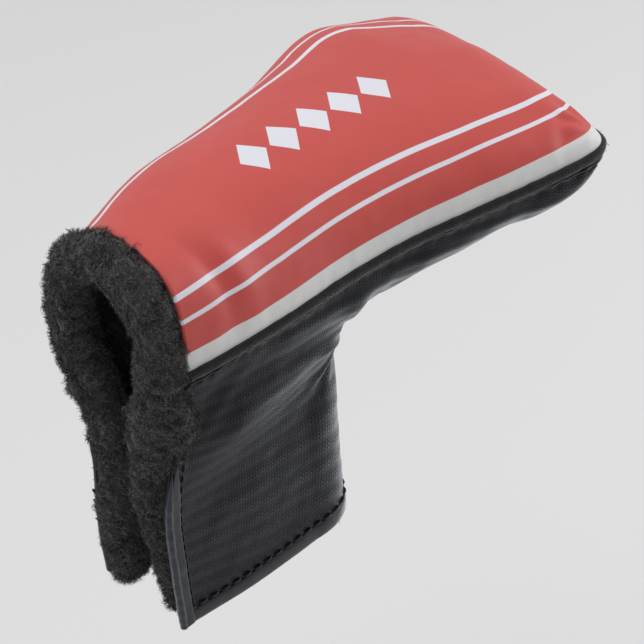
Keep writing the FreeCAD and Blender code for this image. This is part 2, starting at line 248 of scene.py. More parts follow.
def link(name, data):
    obj = bpy.data.objects.new(name, data)
    bpy.context.scene.collection.objects.link(obj)
    return obj


def make(name, points, faces):
    """A new smooth mesh object from points in millimetres."""
    mesh = bpy.data.meshes.new(name)
    corners = [tuple(p) for p in np.asarray(points, float) * MM]
    mesh.from_pydata(corners, [], [tuple(map(int, f)) for f in faces])
    mesh.update()
    mesh.polygons.foreach_set("use_smooth", [True] * len(mesh.polygons))
    return link(name, mesh)


def grid_faces(rows, columns, wrap=False):
    faces = []
    for i in range(rows - 1):
        for j in range(columns if wrap else columns - 1):
            k = (j + 1) % columns
            here, above = i * columns, (i + 1) * columns
            faces.append((here + j, here + k, above + k, above + j))
    return faces


def tube(rings):
    """Points and faces of a closed tube from an array of rings."""
    rows, columns = rings.shape[:2]
    faces = grid_faces(rows, columns, True)
    faces.append(tuple(range(columns))[::-1])
    faces.append(tuple((rows - 1) * columns + j for j in range(columns)))
    return rings.reshape(-1, 3), faces


def joined(parts):
    """Several (points, faces) pairs as one."""
    points, faces, base = [], [], 0
    for more, own in parts:
        points.append(more)
        faces += [tuple(i + base for i in f) for f in own]
        base += len(more)
    return np.vstack(points), faces


def turn_faces(obj, up=False):
    """Turns the faces of a closed piece outward, or most of an open surface's faces up."""
    bm = bmesh.new()
    bm.from_mesh(obj.data)
    if not up:
        bmesh.ops.recalc_face_normals(bm, faces=bm.faces)
    elif sum(f.normal.z * f.calc_area() for f in bm.faces) < 0:
        bmesh.ops.reverse_faces(bm, faces=bm.faces)
    bm.to_mesh(obj.data)
    bm.free()


def read_points(mesh):
    """The mesh's points in millimetres."""
    co = np.empty(len(mesh.vertices) * 3)
    mesh.vertices.foreach_get("co", co)
    return co.reshape(-1, 3) / MM


def attribute(obj, name, values):
    """Stores three numbers, or one, on each point for the materials to read."""
    values = np.asarray(values, np.float32)
    kind = "FLOAT_VECTOR" if values.ndim == 2 else "FLOAT"
    layer = obj.data.attributes.new(name, kind, "POINT")
    layer.data.foreach_set("vector" if values.ndim == 2 else "value", values.ravel())


def apply_modifiers(obj):
    graph = bpy.context.evaluated_depsgraph_get()
    graph.update()
    mesh = bpy.data.meshes.new_from_object(
        obj.evaluated_get(graph), preserve_all_data_layers=True, depsgraph=graph)
    old = obj.data
    obj.modifiers.clear()
    obj.data = mesh
    bpy.data.meshes.remove(old)


def thicken(obj, thickness):
    """Gives an open surface a thickness, away from its normals."""
    solid = obj.modifiers.new("thickness", "SOLIDIFY")
    solid.thickness = thickness * MM
    solid.offset = -1.0
    solid.use_even_offset = False
    apply_modifiers(obj)
    obj.data.polygons.foreach_set("use_smooth", [True] * len(obj.data.polygons))


def relax(points, edges, times, weight):
    """Moves points towards the average of their neighbours, by weight."""
    count = np.bincount(edges.ravel(), minlength=len(points))[:, None]
    for _ in range(times):
        total = np.zeros_like(points)
        np.add.at(total, edges[:, 0], points[edges[:, 1]])
        np.add.at(total, edges[:, 1], points[edges[:, 0]])
        points = points + weight * (total / np.maximum(count, 1) - points)
    return points


def body_shell(depth_head, depth_neck, voxel):
    """The head and neck as one smooth closed surface, depth below the skin."""
    angles = np.linspace(-math.pi / 2, 1.5 * math.pi, 97)[:-1]
    head = np.array([head_section(x, angles, depth_head) for x in head_stops(depth_head, PAST_HEEL)])
    levels = [-6.0] + list(np.linspace(0, NECK_TOP_Z, 27))
    neck = np.array([neck_section(z, depth_neck, PAST_HEEL) for z in levels])
    obj = make("shell", *joined([tube(head), tube(neck)]))
    turn_faces(obj)
    remesh = obj.modifiers.new("remesh", "REMESH")
    remesh.mode = "VOXEL"
    remesh.voxel_size = voxel * MM
    apply_modifiers(obj)
    co = read_points(obj.data)
    edges = np.array([e.vertices[:] for e in obj.data.edges])
    co = relax(co, edges, 6, 0.5)
    crotch = np.exp(-((co[:, 0] - 19) ** 2 + (co[:, 2] - 56) ** 2) / 2 / 8.0**2)
    sides = 0.8 * bell(co[:, 2] - 69 - 0.08 * co[:, 0], 7.0) * (co[:, 0] < 30)
    co = relax(co, edges, 60, np.clip(np.maximum(crotch, sides), 0, 1)[:, None] * 0.9)
    obj.data.vertices.foreach_set("co", (co * MM).ravel())
    return obj


def cut_plane(bm, point, normal, clear=True):
    """Cuts a mesh with a plane, and clears away what lies on the normal's side of it."""
    geometry = bm.verts[:] + bm.edges[:] + bm.faces[:]
    bmesh.ops.bisect_plane(
        bm, geom=geometry, plane_co=Vector(point) * MM, plane_no=normal, clear_outer=clear, dist=1e-7)


def trim_heel(bm, edge_x):
    """Cuts away what lies heelward of edge_x(y, z), and lays the border on that line."""
    gone = []
    for face in bm.faces:
        if all(v.co.x / MM < edge_x(v.co.y / MM, v.co.z / MM) for v in face.verts):
            gone.append(face)
    bmesh.ops.delete(bm, geom=gone, context="FACES")
    for v in bm.verts:
        line = edge_x(v.co.y / MM, v.co.z / MM)
        if v.co.x / MM < line:
            v.co.x = line * MM
    bmesh.ops.remove_doubles(bm, verts=bm.verts, dist=2e-5)


EDGE_ZS = np.linspace(-2, 120, 245)
LEATHER_EDGE = [HEEL_X if z >= NECK_TOP_Z else table_at(NECK, z)[0][0] for z in EDGE_ZS]


def leather_edge(_y, z):
    return float(np.interp(z, EDGE_ZS, LEATHER_EDGE))


def fleece_edge(y, z):
    column = 1 if y < -5.0 * min(max(z / 40.0, 0.4), 1.0) - 1.0 else 3
    if z > 76:
        return HEEL_X
    return float(np.interp(z, ROLL[:, 0], ROLL[:, column])) + 2.0


def side_dents(co):
    """How far the sides' skin moves outward at each point: folds, puckers and slack."""
    x, y, z = co.T
    out = 0.30 * bumps(co, 17.0, 1) + 0.10 * bumps(co, 6.0, 2)
    under = welt_z(x) - z
    # A hollow under the welt
    along_head = (x > -30) * np.clip((x + 30) / 15, 0, 1) * np.clip((70 - x) / 12, 0, 1)
    out -= 0.9 * bell(under - 5.0, 3.0) * along_head
    # Puckers that fan out from where the belly meets the neck
    for side, _ in SIDES:
        r = np.hypot(x - 17.0, z - 57.0) + 1e-6
        angle = np.arctan2(z - 57.0, x - 17.0)
        on = (np.sign(y) == side) * bell(r - 10, 9.0)
        fan = np.cos(7.0 * angle + 0.7 * side) + 0.5 * np.cos(13.0 * angle + 1.0)
        out += 0.42 * on * fan
    # A wide bulge across the neck, and a fold that runs up from it
    ridge = (z - 52) - 0.22 * (x + 38)
    body = np.clip((22 - x) / 12, 0, 1) * np.clip((x + 37) / 15, 0.1, 1)
    out += body * (2.3 * bell(ridge - 2, 9.0) - 0.9 * bell(ridge + 15, 10.0))
    fold = (z - 76) - 1.25 * (x + 20)
    high = bell(z - 62, 12)
    out += body * 0.7 * bell(fold, 4.5) * high
    out -= body * 0.6 * bell(fold - 9, 5.0) * high
    # Gathers in the welt's seam
    along = x + 0.3 * np.sin(x)
    out += 0.13 * np.cos(2 * math.pi * along / 4.3) * bell(under - 3.2, 2.0)
    hem = np.clip(1 - z / 9.0, 0, 1)
    return out * (1 - 0.75 * hem)


def open_shell(depth_head, depth_neck, voxel, hem_z, edge_x, under_welt):
    """A shell cut open at the hem and the heel, with its points and their normals."""
    shell = body_shell(depth_head, depth_neck, voxel)
    bm = bmesh.new()
    bm.from_mesh(shell.data)
    bpy.data.objects.remove(shell)
    if under_welt:
        cut_plane(bm, WELT_POINT, WELT_NORMAL)
    cut_plane(bm, (0, 0, hem_z), Vector((0, 0, -1)))
    trim_heel(bm, edge_x)
    bmesh.ops.recalc_face_normals(bm, faces=bm.faces)
    co = np.array([v.co[:] for v in bm.verts]) / MM
    return bm, co, np.array([v.normal[:] for v in bm.verts])


def move_points(bm, co):
    for v, p in zip(bm.verts, co):
        v.co = Vector(p) * MM


def piece_of(bm, name, unwanted):
    """A new object from the faces of a mesh that aren't unwanted."""
    part = bm.copy()
    bmesh.ops.delete(part, geom=[f for f in part.faces if unwanted(f)], context="FACES")
    keep_largest(part)
    mesh = bpy.data.meshes.new(name)
    part.to_mesh(mesh)
    part.free()
    return link(name, mesh)


def build_sides():
    """The outer skin under the welt, as two pieces, and a tree to lay trim on."""
    bm, co, normals = open_shell(0.0, 0.0, voxel=0.62, hem_z=0.4, edge_x=leather_edge, under_welt=True)
    if (normals[:, 1] * np.sign(co[:, 1])).mean() < 0:
        bmesh.ops.reverse_faces(bm, faces=bm.faces)
        normals = -normals
    move_points(bm, co + normals * side_dents(co)[:, None])
    bm.normal_update()
    tree = BVHTree.FromBMesh(bm)
    cut_plane(bm, (0, 0, 0), (0, 1, 0), False)
    pieces = []
    for side, name in SIDES:
        pieces.append(piece_of(bm, "SideCover." + name, lambda f: f.calc_center_median().y * side < 0))
    bm.free()
    return pieces, tree


def flat_pattern(obj):
    """Unrolls a skin to the flat and stores each point's place on the cloth in millimetres."""
    bpy.ops.object.select_all(action="DESELECT")
    bpy.context.view_layer.objects.active = obj
    obj.select_set(True)
    obj.data.uv_layers.new(name="cloth")
    bpy.ops.object.mode_set(mode="EDIT")
    bpy.ops.mesh.select_all(action="SELECT")
    bpy.ops.uv.unwrap(method="CONFORMAL", margin=0.0)
    bpy.ops.object.mode_set(mode="OBJECT")
    mesh = obj.data
    uv = np.empty(len(mesh.loops) * 2)
    mesh.uv_layers["cloth"].data.foreach_get("uv", uv)
    corner = np.empty(len(mesh.loops), int)
    mesh.loops.foreach_get("vertex_index", corner)
    flat = np.zeros((len(mesh.vertices), 2))
    flat[corner] = uv.reshape(-1, 2)
    co = read_points(mesh)
    here = (co[:, 2] < 55) & (co[:, 0] < 8)
    source = np.c_[flat[here], np.ones(here.sum())]
    fit, *_ = np.linalg.lstsq(source, co[here][:, (0, 2)], rcond=None)
    cloth = np.c_[flat, np.ones(len(flat))] @ fit
    mesh.uv_layers.remove(mesh.uv_layers["cloth"])
    attribute(obj, "cloth", np.c_[cloth, np.zeros(len(cloth))])


# ---------- the printed top ----------

def top_grid(depth, across=170, even=150, turns=60):
    """The top as a grid, with how far each point is from its near, far and toe edges."""
    stops = np.array(head_stops(depth, 0.0, even, turns))
    dense = np.linspace(math.pi, 0.0, 700)
    rows, near, far = [], [], []
    for x in stops:
        line = head_section(x, dense, depth)
        run = run_along(line)
        at = np.linspace(0, run[-1], across)
        rows.append(spread(line, run, at))
        near.append(at)
        far.append(run[-1] - at)
    grid, near, far = np.array(rows), np.array(near), np.array(far)
    steps = np.linalg.norm(np.diff(grid, axis=0), axis=2)
    toe = np.vstack([np.cumsum(steps[::-1], axis=0)[::-1], np.zeros(across)])
    normal = unit(np.cross(np.gradient(grid, axis=0), np.gradient(grid, axis=1)), 1e-9)
    normal *= np.sign(normal[len(stops) // 2, across // 2, 2])
    push = top_dents(grid.reshape(-1, 3)).reshape(near.shape)
    edge = np.clip(np.minimum(near, far) / 6.0, 0, 1) * np.clip(toe / 5.0, 0, 1)
    grid = grid + normal * (push * edge)[..., None]
    ripple = 0.04 * np.cos(2 * math.pi * grid[..., 0] / 4.4 + np.sin(grid[..., 0] * 0.7))
    rim = bell(np.minimum(near, far) - 3.0, 2.0)
    return grid + normal * (ripple * rim)[..., None], near, far, toe


def top_dents(co):
    """Soft dents and creases of the padded top, outward."""
    x, y, _ = co.T
    out = 0.42 * bumps(co, 24.0, 3) + 0.12 * bumps(co, 8.0, 4)
    # Middle x and y, two half widths, turn and height of each dent or crease
    for cx, cy, sx, sy, turn, amount in (
        (-27.0, -19.0, 2.6, 8.0, 0.25, -0.75),
        (-21.0, -21.0, 3.0, 8.0, 0.35, 0.45),
        (-30.0, -6.0, 4.0, 9.0, 0.1, -0.35),
        (-12.0, -14.0, 6.0, 9.0, 0.5, -0.35),
        (12.0, 16.0, 13.0, 6.0, 0.1, -0.5),
        (60.0, -24.0, 6.0, 5.0, -0.4, -0.35),
        (66.0, -31.0, 2.0, 5.0, -0.7, -0.45),
    ):
        dx, dy = x - cx, y - cy
        a = dx * math.cos(turn) + dy * math.sin(turn)
        b = -dx * math.sin(turn) + dy * math.cos(turn)
        out += 1.05 * amount * np.exp(-((a / sx) ** 2) - (b / sy) ** 2)
    r = np.hypot(x - 75, y + 33)
    angle = np.arctan2(y + 33, x - 75)
    out += 0.28 * np.cos(11 * angle) * bell(r - 7, 4.0)
    return out


def build_top():
    grid, near, far, toe = top_grid(0.0)
    x = grid[..., 0]
    cover = make("TopCover", grid.reshape(-1, 3), grid_faces(*near.shape))
    # The stripes run to the far edge at the heel, and the far border widens about the middle
    drawn = far - 4.5 * np.clip((12 - x) / 50, 0, 1)
    attribute(cover, "panel", np.stack([x, near, drawn], -1).reshape(-1, 3))
    wide = 4.2 * bell(x - 44, 22)
    attribute(cover, "rim", np.stack([near, far - wide, toe], -1).reshape(-1, 3))
    turn_faces(cover, up=True)
    thicken(cover, SKIN)
    foam, *_ = top_grid(FOAM_DEPTH, across=70, even=60, turns=24)
    pad = make("TopFoam", foam.reshape(-1, 3), grid_faces(*foam.shape[:2]))
    turn_faces(pad, up=True)
    thicken(pad, FOAM)
    return cover, pad


# ---------- fleece ----------

# How far along a tuft each pair of points is, and its share of the width
TUFT = ((0.0, 1.0), (0.38, 1.0), (0.72, 0.9), (1.0, 0.35))


def build_linings():
    """The fleece inside, as three pieces."""
    bm, co, normals = open_shell(
        HEAD_FLEECE_DEPTH, NECK_FLEECE_DEPTH, voxel=1.0, hem_z=0.8, edge_x=fleece_edge, under_welt=False)
    lumps = 0.45 * bumps(co, 4.0, 5) + 0.25 * bumps(co, 2.0, 6)
    up = np.sign(sum(f.normal.z for f in bm.faces if f.calc_center_median().z > 0.095))
    move_points(bm, co + normals * (lumps * up)[:, None])
    if up > 0:
        bmesh.ops.reverse_faces(bm, faces=bm.faces)
    bm.normal_update()
    cut_plane(bm, WELT_POINT, WELT_NORMAL, False)
    cut_plane(bm, (0, 0, 0), (0, 1, 0), False)
    pieces = []
    for name, owner in (("LiningTop", "top"), ("SideLining.near", "near"), ("SideLining.far", "far")):
        pieces.append(piece_of(bm, name, lambda f: lining_owner(f) != owner))
    bm.free()
    return pieces


def keep_largest(bm):
    """Deletes every patch of faces except the largest one."""
    left, largest = set(bm.faces), []
    while left:
        patch = [left.pop()]
        for face in patch:
            for edge in face.edges:
                found = left.intersection(edge.link_faces)
                left -= found
                patch += found
        largest = max(largest, patch, key=len)
    largest = set(largest)
    bmesh.ops.delete(bm, geom=[f for f in bm.faces if f not in largest], context="FACES")


def lining_owner(face):
    """The lining that a face belongs to. In the neck's heel half its normal decides the side."""
    centre, normal = face.calc_center_median(), face.normal
    if (centre - Vector(WELT_POINT) * MM).dot(WELT_NORMAL) > 0:
        return "top"
    if centre.x < 0.0 and centre.z < 0.076:
        return "near" if normal.y > 0 else "far"
    return "near" if centre.y < 0 else "far"


def smooth_path(points, values, count):
    """Points and a value spread evenly along a smooth curve through the given ones."""
    points = np.asarray(points, float)
    n = len(points)
    slopes = np.gradient(points, axis=0)
    line, value = [], []
    for i in range(n - 1):
        for t in np.linspace(0, 1, 40, endpoint=False):
            ends = (points[i], slopes[i], points[i + 1], slopes[i + 1])
            line.append(sum(share * part for share, part in zip(curve_shares(t), ends)))
            value.append(values[i] + (values[i + 1] - values[i]) * t)
    line.append(points[-1])
    value.append(values[-1])
    line = np.array(line)
    run = run_along(line)
    at = np.linspace(0, run[-1], count)
    return spread(line, run, at), np.interp(at, run, value)


def roll_centres(side):
    """The roll's centre line from the hem of one flap to the crest of the arch."""
    column = 1 if side < 0 else 3
    foot_lift = 2.2 if side > 0 else 0.0
    points = [(r[column], r[column + 1], r[0] + (foot_lift if r[0] < 1 else 0.0)) for r in ROLL]
    radius = [r[5] for r in ROLL]
    near, far, middle, crest, _, power = HEAD[0][1:]
    power -= 0.5
    half = (far - middle if side > 0 else near + middle) - ROLL_IN
    for degrees in ((174, 155, 135, 112, 90) if side < 0 else (6, 25, 45, 68, 90)):
        angle = math.radians(degrees)
        y = half * float(signed_power(math.cos(angle), 2 / power))
        z = (crest - ROLL_IN) * float(signed_power(math.sin(angle), 2 / power))
        points.append((HEEL_X - ROLL_OUT, middle + y, WELT_HEEL_Z + z))
        radius.append(ROLL_RADIUS)
    return points, radius


def build_lip(side, name):
    """Half of the fleece roll, with lumps. Returns the piece, its grid and the way out at each point."""
    points, radius = roll_centres(side)
    rows, columns = 230, 60
    line, size = smooth_path(points, radius, rows)
    along = unit(np.gradient(line, axis=0))
    first = unit(np.array([-1.0, 0, 0]) - along * (-along[:, :1]))
    second = np.cross(along, first)
    a = np.linspace(0, 2 * math.pi, columns, endpoint=False)
    out = np.cos(a)[None, :, None] * first[:, None] + np.sin(a)[None, :, None] * second[:, None]
    if side < 0:
        swell = bell(line[:, 2] - 65, 9) * (line[:, 1] < -15)
        size = size + 2.2 * swell
        line = line + swell[:, None] * np.array([1.6, 0.4, 0.0])
    end = np.clip(np.arange(rows) / 9.0, 0, 1)
    size = size * (0.25 + 0.75 * np.sqrt(1 - (1 - end) ** 2))
    grid = line[:, None] + out * size[:, None, None]
    flat = grid.reshape(-1, 3)
    lumps = 1.1 * bumps(flat, 8.0, 8) + 0.95 * bumps(flat, 3.2, 9) - 0.7
    grid = grid + out * lumps.reshape(rows, columns, 1)
    obj = make(name, *tube(grid))
    turn_faces(obj)
    return obj, grid, out


def pile(name, roots, normals, length, width, bend):
    """Short curly tufts of fleece that stand on the roots."""
    n = len(roots)
    swirl = np.stack([bumps(roots, 2.4, s, 1) for s in (11, 12, 13)], -1)
    direction = unit(normals + bend * 2.1 * swirl + rng.normal(0, 0.42, (n, 3)))
    side = unit(np.cross(direction, rng.normal(0, 1, (n, 3))), 1e-9)
    other = np.cross(direction, side)
    long = length * rng.uniform(0.65, 1.25, n)[:, None]
    phase = rng.uniform(0, 2 * math.pi, n)[:, None]
    points = []
    for t, w in TUFT:
        curl = 0.34 * long * t * (np.cos(phase + 5.2 * t) * side + np.sin(phase + 5.2 * t) * other)
        centre = roots - 0.25 * normals + direction * long * t * (1 - 0.18 * t) + curl
        half = side * width * w / 2
        points += [centre - half, centre + half]
    verts = np.stack(points, 1).reshape(-1, 3)
    base = np.arange(n)[:, None] * 2 * len(TUFT)
    steps = range(0, 2 * len(TUFT) - 2, 2)
    quads = np.concatenate([base + np.array([k, k + 1, k + 3, k + 2]) for k in steps], 1).reshape(-1, 4)
    obj = make(name, verts, quads)
    attribute(obj, "tip", np.tile(np.repeat([t for t, _ in TUFT], 2), n))
    attribute(obj, "tuft", np.repeat(rng.uniform(0, 1, n), 2 * len(TUFT)))
    return obj


def roll_pile(name, grid, out, count, length, width):
    """Tufts spread over a roll's grid."""
    rows, columns = grid.shape[:2]
    u = rng.uniform(0, rows - 1.001, count)
    v = rng.uniform(0, columns, count)
    i, j = u.astype(int), v.astype(int) % columns
    fu, fv = (u % 1)[:, None], (v % 1)[:, None]
    k = (j + 1) % columns
    here = grid[i, j] * (1 - fu) + grid[i + 1, j] * fu
    beside = grid[i, k] * (1 - fu) + grid[i + 1, k] * fu
    roots = here * (1 - fv) + beside * fv
    normals = out[i, j] * (1 - fv) + out[i, k] * fv
    normals[:, 2] -= np.where(u < 6, 0.6, 0.0)
    return pile(name, roots, unit(normals), length, width, 0.8)


def surface_pile(name, obj, count, length, width, keep):
    """Tufts on the faces of a piece where keep(centres, normals) is true."""
    mesh = obj.data
    mesh.calc_loop_triangles()
    tri = np.array([t.vertices[:] for t in mesh.loop_triangles])
    co = read_points(mesh)
    a, b, c = co[tri[:, 0]], co[tri[:, 1]], co[tri[:, 2]]
    cross = np.cross(b - a, c - a)
    area = np.linalg.norm(cross, axis=1)
    normal = cross / (area[:, None] + 1e-12)
    share = area * keep((a + b + c) / 3, normal)
    pick = rng.choice(len(tri), count, p=share / share.sum())
    r1, r2 = np.sqrt(rng.uniform(0, 1, (count, 1))), rng.uniform(0, 1, (count, 1))
    roots = (1 - r1) * a[pick] + r1 * (1 - r2) * b[pick] + r1 * r2 * c[pick]
    return pile(name, roots, normal[pick], length, width, 0.8)


# ---------- trim ----------

def lay(tree, point, lift):
    """The nearest place on the skin to a point in millimetres, raised by lift, and its normal."""
    place, normal, _, _ = tree.find_nearest(Vector(point) * MM)
    if place is None:
        return np.array(point), np.array((0.0, 0.0, 1.0))
    return np.array(place) / MM + np.array(normal) * lift, np.array(normal)


def frames(points, normals):
    """Unit vectors along a line, across it and out of the skin."""
    along = unit(np.gradient(points, axis=0))
    normals = unit(normals - along * np.sum(along * normals, axis=1, keepdims=True))
    return along, np.cross(along, normals), normals


def sweep(name, points, normals, profile):
    """A closed strip along the points. profile holds (across, out) pairs in millimetres."""
    _, across, normals = frames(points, normals)
    profile = np.asarray(profile, float)
    if profile.ndim == 2:
        profile = np.repeat(profile[None], len(points), 0)
    rings = points[:, None] + across[:, None] * profile[..., :1] + normals[:, None] * profile[..., 1:]
    obj = make(name, *tube(rings))
    turn_faces(obj)
    return obj


def oval(width, height, sides=14, square=2.6):
    a = np.linspace(0, 2 * math.pi, sides, endpoint=False)
    x, y = signed_power(np.cos(a), 2 / square), signed_power(np.sin(a), 2 / square)
    return np.stack([width / 2 * x, height / 2 * y], -1)


def stitches(name, points, normals, step, length, thickness, slant=0.0):
    """A row of separate threads that dip into the skin at both ends."""
    along, across, up = frames(points, normals)
    rows, columns = 9, 8
    threads = []
    for p in even_run(points, step):
        i = int(np.argmin(np.linalg.norm(points - p, axis=1)))
        direction = unit(along[i] + slant * across[i])
        side = np.cross(direction, up[i])
        rings = []
        for t in np.linspace(-1, 1, rows):
            radius = thickness / 2 * math.sqrt(max(1 - t**4, 0.02))
            centre = p + direction * (t * length / 2) + up[i] * (thickness * (0.42 - 0.62 * t * t))
            ring = []
            for c in range(columns):
                a = 2 * math.pi * c / columns
                twist = 1 + 0.14 * math.cos(2 * a + 7 * t)
                ring.append(centre + radius * twist * (math.cos(a) * side + math.sin(a) * up[i]))
            rings.append(ring)
        threads.append(tube(np.array(rings)))
    obj = make(name, *joined(threads))
    turn_faces(obj)
    return obj


def welt_line(step=0.6):
    """The line of the welt, from the near heel round the toe to the far heel."""
    xs = np.array(head_stops(0.0, 0.0, 200, 60))
    near, far = [], []
    for x in xs:
        a, b = head_section(x, np.array([math.pi, 0.0]), 0.0)
        near.append(a)
        far.append(b)
    points = even_run(near + far[::-1], step)
    weight = np.where(points[:, :1] > 60, 0.5, 0.0)
    return even_run(relax(points, links(len(points)), 10, weight), step)


def outward(points):
    """Level normals of a line that runs round the head."""
    normal = unit(np.cross(np.gradient(points, axis=0), np.array(WELT_NORMAL)))
    middle = np.array([20.0, 0.0, 85.0])
    if np.sum((points[len(points) // 4] - middle) * normal[len(points) // 4]) < 0:
        normal = -normal
    return normal


def neck_line(z, first, last, side, step=0.5):
    """A level line round one side of the neck, between two shares of its length from the heel."""
    ring = even_run(neck_section(z, 0.0, 0.0, 40, 80), 0.4)
    half = ring[ring[:, 1] <= 0.0] if side < 0 else ring[ring[:, 1] >= 0.0][::-1]
    n = len(half)
    return even_run(half[int(first * n):max(int(last * n), int(first * n) + 3)], step)


def on_skin(tree, line, lift=0.0):
    laid = [lay(tree, p, lift) for p in line]
    return np.array([p for p, n in laid]), np.array([n for p, n in laid])


def edge_line(side, inset, low, high, step=0.5):
    """A line down the leather's heel edge, inset from it."""
    points = []
    for z in np.arange(low, high, 0.5):
        x = leather_edge(0, z) + inset
        points.append((x, side * neck_side(z, x, side), z))
    return even_run(points, step)


# ---------- materials ----------

class Nodes:
    """A small helper for writing a material's nodes as sums."""

    def __init__(self, name):
        self.material = bpy.data.materials.new(name)
        self.material.use_nodes = True
        self.tree = self.material.node_tree
        self.shader = self.tree.nodes["Principled BSDF"]

    def add(self, kind, **settings):
        node = self.tree.nodes.new(kind)
        for key, value in settings.items():
            setattr(node, key, value)
        return node

    def put(self, value, socket):
        if isinstance(value, bpy.types.NodeSocket):
            self.tree.links.new(value, socket)
        else:
            socket.default_value = value

    def math(self, operation, a, b=0.0, clamp=False):
        node = self.add("ShaderNodeMath", operation=operation, use_clamp=clamp)
        for value, socket in zip((a, b), node.inputs):
            self.put(value, socket)
        return node.outputs[0]

    def plus(self, a, b):
        return self.math("ADD", a, b)

    def minus(self, a, b):
        return self.math("SUBTRACT", a, b)

    def times(self, a, b):
        return self.math("MULTIPLY", a, b)

    def over(self, a, b):
        return self.math("DIVIDE", a, b)

    def ramp(self, value, low, high):
        """0 under low, 1 over high, smooth between."""
        node = self.add("ShaderNodeMapRange", interpolation_type="SMOOTHSTEP")
        for v, socket in zip((value, low, high, 0.0, 1.0), node.inputs):
            self.put(v, socket)
        return node.outputs[0]

    def under(self, value, low, high):
        """1 under low, 0 over high, smooth between."""
        return self.minus(1.0, self.ramp(value, low, high))

    def mix(self, share, a, b):
        node = self.add("ShaderNodeMix", data_type="RGBA")
        self.put(share, node.inputs[0])
        self.put(a, node.inputs[6])
        self.put(b, node.inputs[7])
        return node.outputs[2]

    def place(self, name):
        return self.add("ShaderNodeAttribute", attribute_name=name)

    def split(self, vector):
        node = self.add("ShaderNodeSeparateXYZ")
        self.put(vector, node.inputs[0])
        return node.outputs

    def noise(self, scale, detail=2.0, rough=0.5):
        node = self.add("ShaderNodeTexNoise")
        self.put(scale, node.inputs["Scale"])
        self.put(detail, node.inputs["Detail"])
        self.put(rough, node.inputs["Roughness"])
        self.put(self.object_place(), node.inputs["Vector"])
        return node.outputs[0]

    def cells(self, scale, feature="F1"):
        node = self.add("ShaderNodeTexVoronoi", feature=feature)
        self.put(scale, node.inputs["Scale"])
        self.put(self.object_place(), node.inputs["Vector"])
        return node.outputs["Distance"]

    def object_place(self):
        if not hasattr(self, "_place"):
            self._place = self.add("ShaderNodeTexCoord").outputs["Object"]
        return self._place

    def bump(self, height, strength, distance, before=None):
        node = self.add("ShaderNodeBump")
        self.put(height, node.inputs["Height"])
        node.inputs["Strength"].default_value = strength
        node.inputs["Distance"].default_value = distance * MM
        if before is not None:
            self.put(before, node.inputs["Normal"])
        return node.outputs[0]

    def finish(self, color, roughness, normal=None, **fixed):
        self.put(color, self.shader.inputs["Base Color"])
        self.put(roughness, self.shader.inputs["Roughness"])
        if normal is not None:
            self.put(normal, self.shader.inputs["Normal"])
        for key, value in fixed.items():
            self.shader.inputs[key.replace("_", " ")].default_value = value
        return self.material


def srgb(r, g, b):
    def line(v):
        v /= 255
        return v / 12.92 if v <= 0.04045 else ((v + 0.055) / 1.055) ** 2.4
    return (line(r), line(g), line(b), 1.0)


def printed_leather():
    n = Nodes("printed_leather")
    along, near, far = n.split(n.place("panel").outputs["Vector"])
    near_rim, far_rim, toe = n.split(n.place("rim").outputs["Vector"])
    wobble = n.times(n.minus(n.noise(90.0, 3.0), 0.5), 0.22)
    near = n.plus(near, wobble)
    far = n.plus(far, wobble)
    edge = n.math("MINIMUM", near, far)
    rim = n.plus(n.math("MINIMUM", near_rim, far_rim), wobble)
    white = n.under(rim, BORDER, BORDER + 0.25)
    white = n.math("MAXIMUM", white, n.under(toe, TOE_BORDER, TOE_BORDER + 0.25))
    lines = None
    for middle, half in STRIPES:
        away = n.math("ABSOLUTE", n.minus(edge, middle))
        line = n.under(away, half - 0.1, half + 0.12)
        lines = line if lines is None else n.math("MAXIMUM", lines, line)
    across = n.times(n.minus(near, far), 0.5)
    row = n.minus(along, ORNAMENT_START)
    # MODULO needs a value above 0, so twenty whole steps are added first
    turn = n.math("MODULO", n.plus(row, ORNAMENT_STEP * 20), ORNAMENT_STEP)
    here = n.minus(turn, ORNAMENT_STEP / 2)
    half_long, half_wide = DIAMOND_HALF
    shape = n.plus(
        n.over(n.math("ABSOLUTE", here), half_long),
        n.over(n.math("ABSOLUTE", n.plus(across, 1.0)), half_wide))
    diamond = n.under(shape, 0.97, 1.02)
    last = n.math("LESS_THAN", row, ORNAMENT_STEP * ORNAMENT_COUNT)
    diamond = n.times(diamond, n.times(n.math("GREATER_THAN", row, 0.0), last))
    tone = n.noise(55.0, 3.0, 0.6)
    red = n.mix(tone, srgb(192, 72, 67), srgb(201, 81, 75))
    ivory = n.mix(n.noise(160.0, 3.0), srgb(212, 213, 211), srgb(224, 224, 222))
    bright = n.mix(tone, srgb(216, 216, 226), srgb(227, 227, 235))
    color = n.mix(n.math("MAXIMUM", lines, diamond), red, bright)
    color = n.mix(white, color, ivory)
    fine = n.cells(2600.0, "DISTANCE_TO_EDGE")
    grain = n.plus(n.times(fine, 1.4), n.times(n.noise(1300.0, 3.0, 0.6), 0.5))
    plain = n.times(n.noise(900.0, 4.0, 0.62), 0.45)
    skin = n.add("ShaderNodeMix", data_type="FLOAT")
    n.put(white, skin.inputs[0])
    n.put(plain, skin.inputs[2])
    n.put(grain, skin.inputs[3])
    normal = n.bump(skin.outputs[0], 0.5, 0.10)
    normal = n.bump(n.noise(120.0, 3.0), 0.35, 0.5, normal)
    rough = n.plus(0.43, n.times(n.noise(240.0, 3.0), 0.16))
    return n.finish(color, rough, normal, Specular_IOR_Level=0.42, Sheen_Weight=0.06, Sheen_Roughness=0.5)


